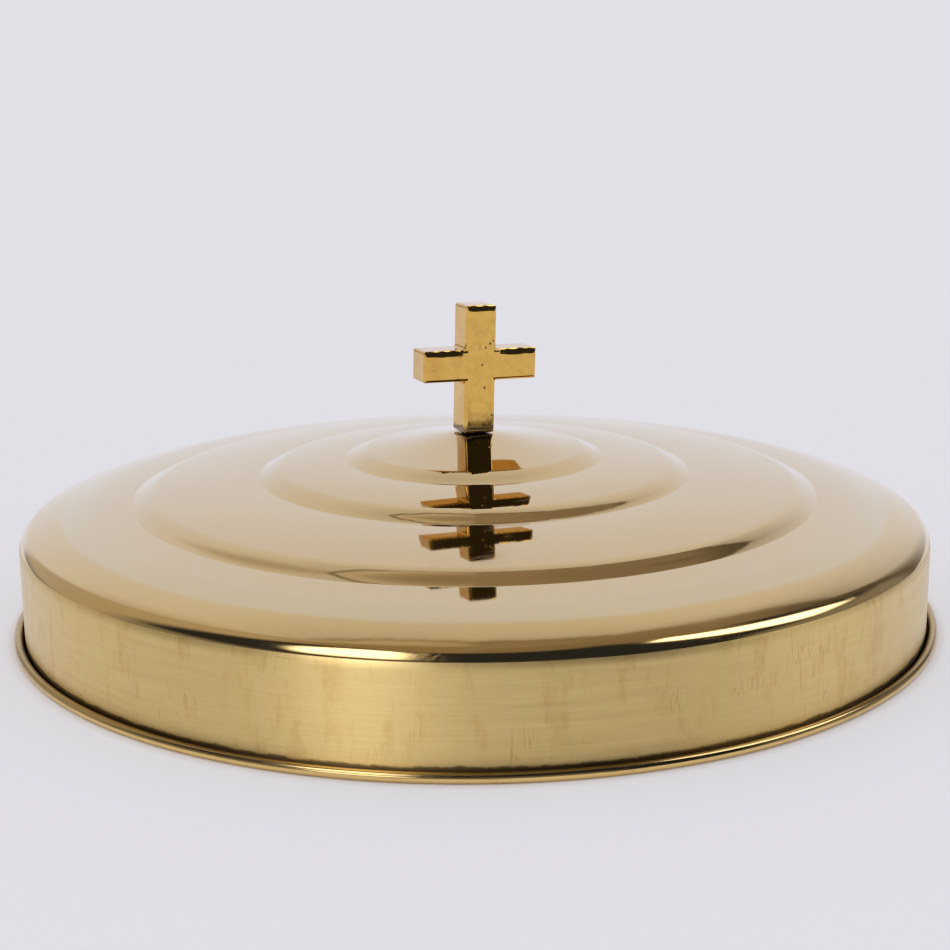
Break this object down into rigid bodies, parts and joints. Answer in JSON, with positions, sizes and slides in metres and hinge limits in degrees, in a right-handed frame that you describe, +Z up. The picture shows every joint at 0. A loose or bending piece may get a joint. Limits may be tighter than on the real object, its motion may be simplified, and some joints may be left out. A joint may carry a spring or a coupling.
{
  "type": "communion tray cover",
  "caption": "Round domed metal cover for a communion tray, with raised concentric tiers, an upright skirt, a rolled bead at the rim and a cross finial as its handle.",
  "frame": {"origin": "where the cover's axis meets the surface that the rim stands on", "axes": "+Z up along the cover's axis, -Y out of the front face of the cross, +X along the crossbar to the right when seen from the front"},
  "size_m": [0.3112, 0.3112, 0.1053],
  "materials": {
    "polished_brass": "mirror-polished dome and bead, satin skirt with fine marks running round it",
    "cast_brass": "polished casting with softly rounded edges and small pits",
    "zinc_plate": "bright zinc plating",
    "spring_steel": "dull spring steel"
  },
  "bodies": {
    "root": {"cover_shell": "polished_brass", "cross_finial": "cast_brass", "flat_washer": "zinc_plate", "lock_washer": "spring_steel", "finial_screw": "zinc_plate"}
  },
  "joints": []
}
